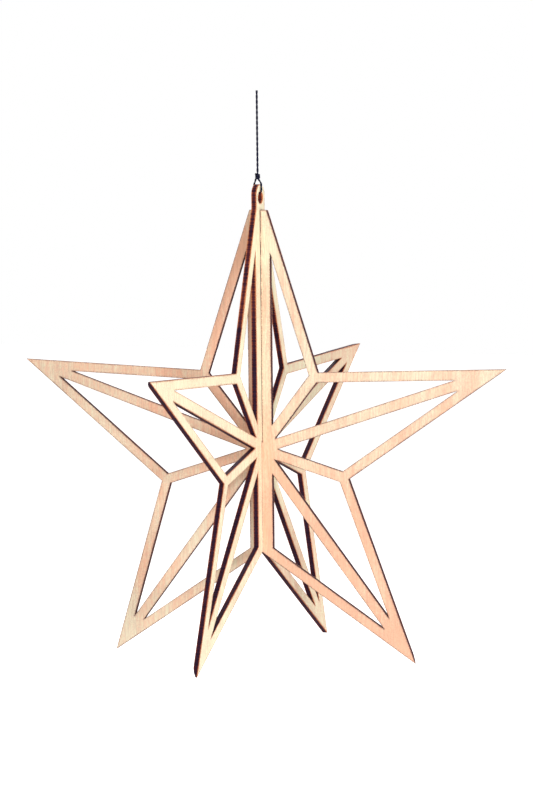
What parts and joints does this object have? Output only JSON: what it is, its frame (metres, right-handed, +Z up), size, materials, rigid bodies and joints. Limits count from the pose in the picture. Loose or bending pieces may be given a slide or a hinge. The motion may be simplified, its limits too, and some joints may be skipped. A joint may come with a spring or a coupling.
{
  "type": "hanging star ornament",
  "caption": "Hanging wooden star of flat openwork plywood stars slotted together at a right angle, on a short knotted cord.",
  "frame": {"origin": "top end of the hanging cord, where the ornament is held", "axes": "+Z up; X lies along the cross panel and Y along the hanging panel; their slots cross on the Z axis"},
  "size_m": [0.2818, 0.2818, 0.306],
  "materials": {
    "birch_plywood": "sanded bare birch with laser-browned edges",
    "cord": "twisted two-ply cord, dark"
  },
  "bodies": {
    "cord_end": {"cord_top_end": "cord"},
    "free_cord": {"hanging_cord": "cord"},
    "knotted_loop": {"cord_knot": "cord", "cord_loop": "cord"},
    "hanging_panel": {"hanging_star_panel": "birch_plywood"},
    "cross_panel": {"cross_star_panel": "birch_plywood"}
  },
  "joints": [
    {"name": "cord_swing", "type": "hinge", "parent": "cord_end", "child": "free_cord", "pos_m": [0, 0, -0.004], "axis": [0, 1, 0], "range_deg": [-60, 60]},
    {"name": "star_spin", "type": "hinge", "parent": "free_cord", "child": "knotted_loop", "pos_m": [0, 0, -0.0445], "axis": [0, 0, 1], "continuous": true},
    {"name": "star_rock", "type": "hinge", "parent": "knotted_loop", "child": "hanging_panel", "pos_m": [0, 0, -0.05495], "axis": [1, 0, 0], "range_deg": [-60, 60]},
    {"name": "panel_slide", "type": "slide", "parent": "hanging_panel", "child": "cross_panel", "axis": [0, 0, -1], "range_m": [0, 0.1245]}
  ]
}
